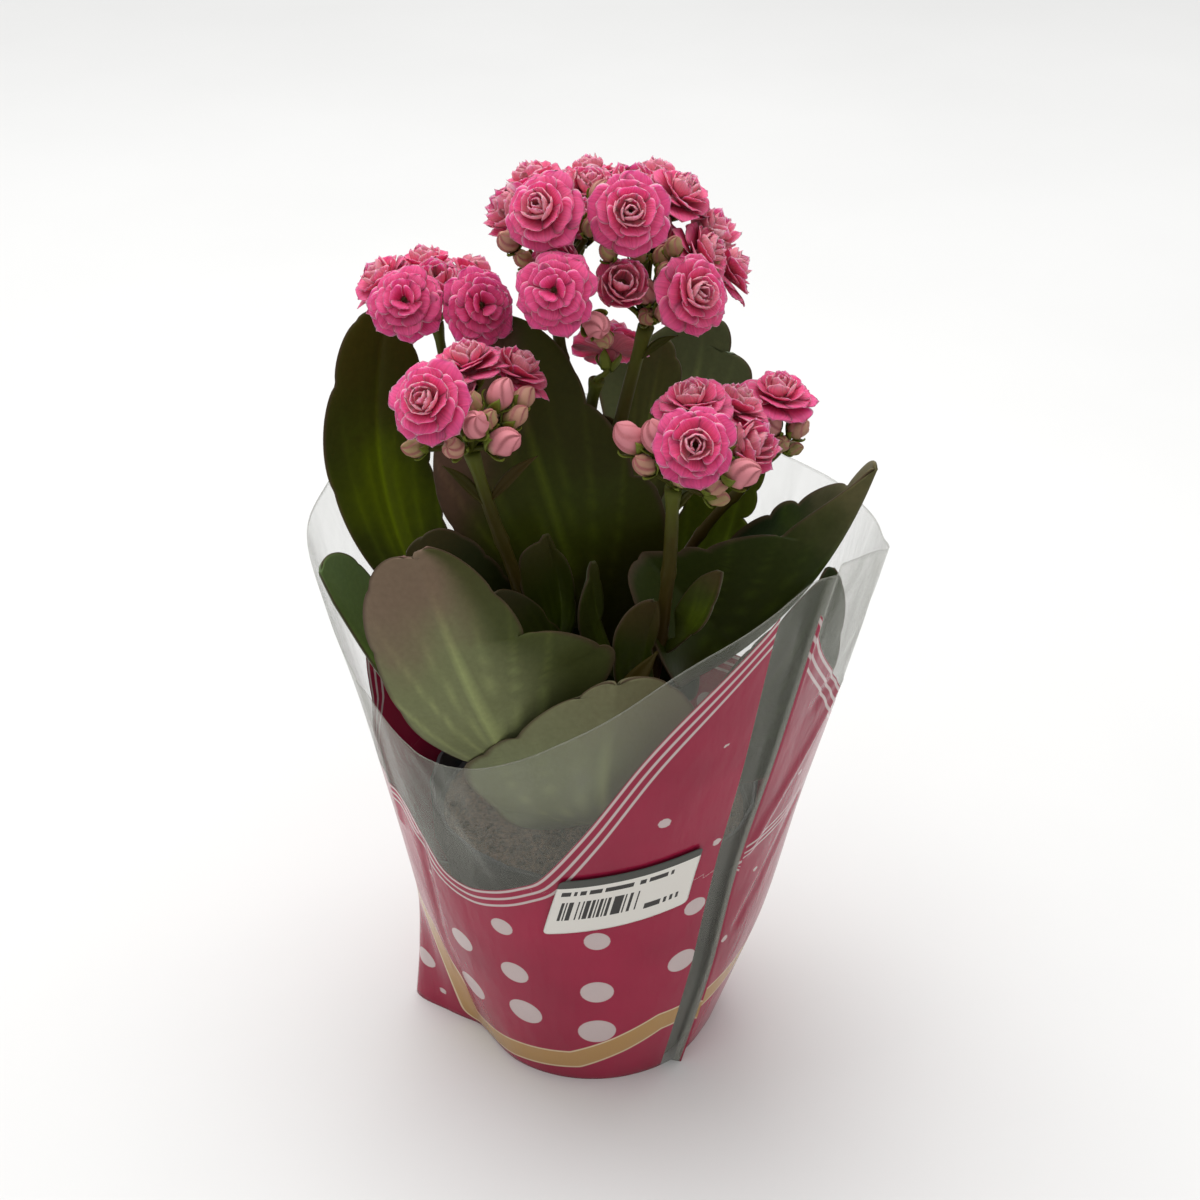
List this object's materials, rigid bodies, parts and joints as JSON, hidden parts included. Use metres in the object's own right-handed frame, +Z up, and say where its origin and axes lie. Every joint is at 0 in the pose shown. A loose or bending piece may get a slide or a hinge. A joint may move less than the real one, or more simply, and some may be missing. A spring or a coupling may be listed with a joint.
{
  "type": "double-flowered kalanchoe in a nursery pot and printed film sleeve",
  "caption": "Potted succulent with broad scalloped leaves and heads of double pink flowers, standing in a tapered clear film sleeve printed with dots and stripes.",
  "frame": {"origin": "middle of the pot's foot, on the surface it stands on", "axes": "+Z up; the price label and the low side of the sleeve face -Y; +X to the right of the front view"},
  "size_m": [0.1726, 0.1585, 0.2995],
  "materials": {
    "pot_plastic": "dark moulded plastic",
    "peat_mix": "damp peat, matt and crumbly",
    "sleeve_film": "clear film printed crimson with white dots, a gold band and white stripes, clear above them",
    "label_paper": "coated paper with a dark band",
    "stem_green": "fleshy green stalk tinged red-brown",
    "leaf_green": "fleshy satin leaf, dark green with red-brown and yellow-green patches",
    "petal_pink": "soft petals, bright pink with paler edges and centres"
  },
  "bodies": {
    "root": {"pot": "pot_plastic", "potting_mix": "peat_mix", "sleeve": "sleeve_film", "price_label": "label_paper", "stem_left": "stem_green", "stem_back": "stem_green", "stem_right": "stem_green", "leaf_back_left": "leaf_green", "leaf_middle": "leaf_green", "leaf_back_right": "leaf_green", "leaf_back_inner": "leaf_green", "leaf_far_right": "leaf_green", "leaf_right": "leaf_green", "leaf_front_left": "leaf_green", "leaf_front": "leaf_green", "leaf_left": "leaf_green", "leaf_left_inner": "leaf_green", "leaf_low_middle": "leaf_green", "leaf_sprout_middle": "leaf_green", "leaf_sprout_right": "leaf_green", "leaf_sprout_far": "leaf_green", "leaf_sprout_holed": "leaf_green", "leaf_sprout_left": "leaf_green", "bloom_top_left_1": "petal_pink", "bloom_top_left_2": "petal_pink", "bloom_top_left_3": "petal_pink", "bloom_top_left_4": "petal_pink", "bloom_top_left_5": "petal_pink", "bloom_top_left_6": "petal_pink", "bloom_left_1": "petal_pink", "bloom_left_2": "petal_pink", "bloom_left_3": "petal_pink", "bloom_left_4": "petal_pink", "bloom_left_5": "petal_pink", "bloom_front_left_1": "petal_pink", "bloom_front_left_2": "petal_pink", "bloom_front_left_3": "petal_pink", "bloom_front_right_1": "petal_pink", "bloom_front_right_2": "petal_pink", "bloom_front_right_3": "petal_pink", "bloom_front_right_4": "petal_pink", "bloom_right_1": "petal_pink", "bloom_top_right_1": "petal_pink", "bloom_top_right_2": "petal_pink", "bloom_top_right_3": "petal_pink", "bloom_top_right_4": "petal_pink", "bloom_top_right_5": "petal_pink", "bloom_top_right_6": "petal_pink", "bloom_top_right_7": "petal_pink", "bloom_top_low_1": "petal_pink"}
  },
  "joints": []
}
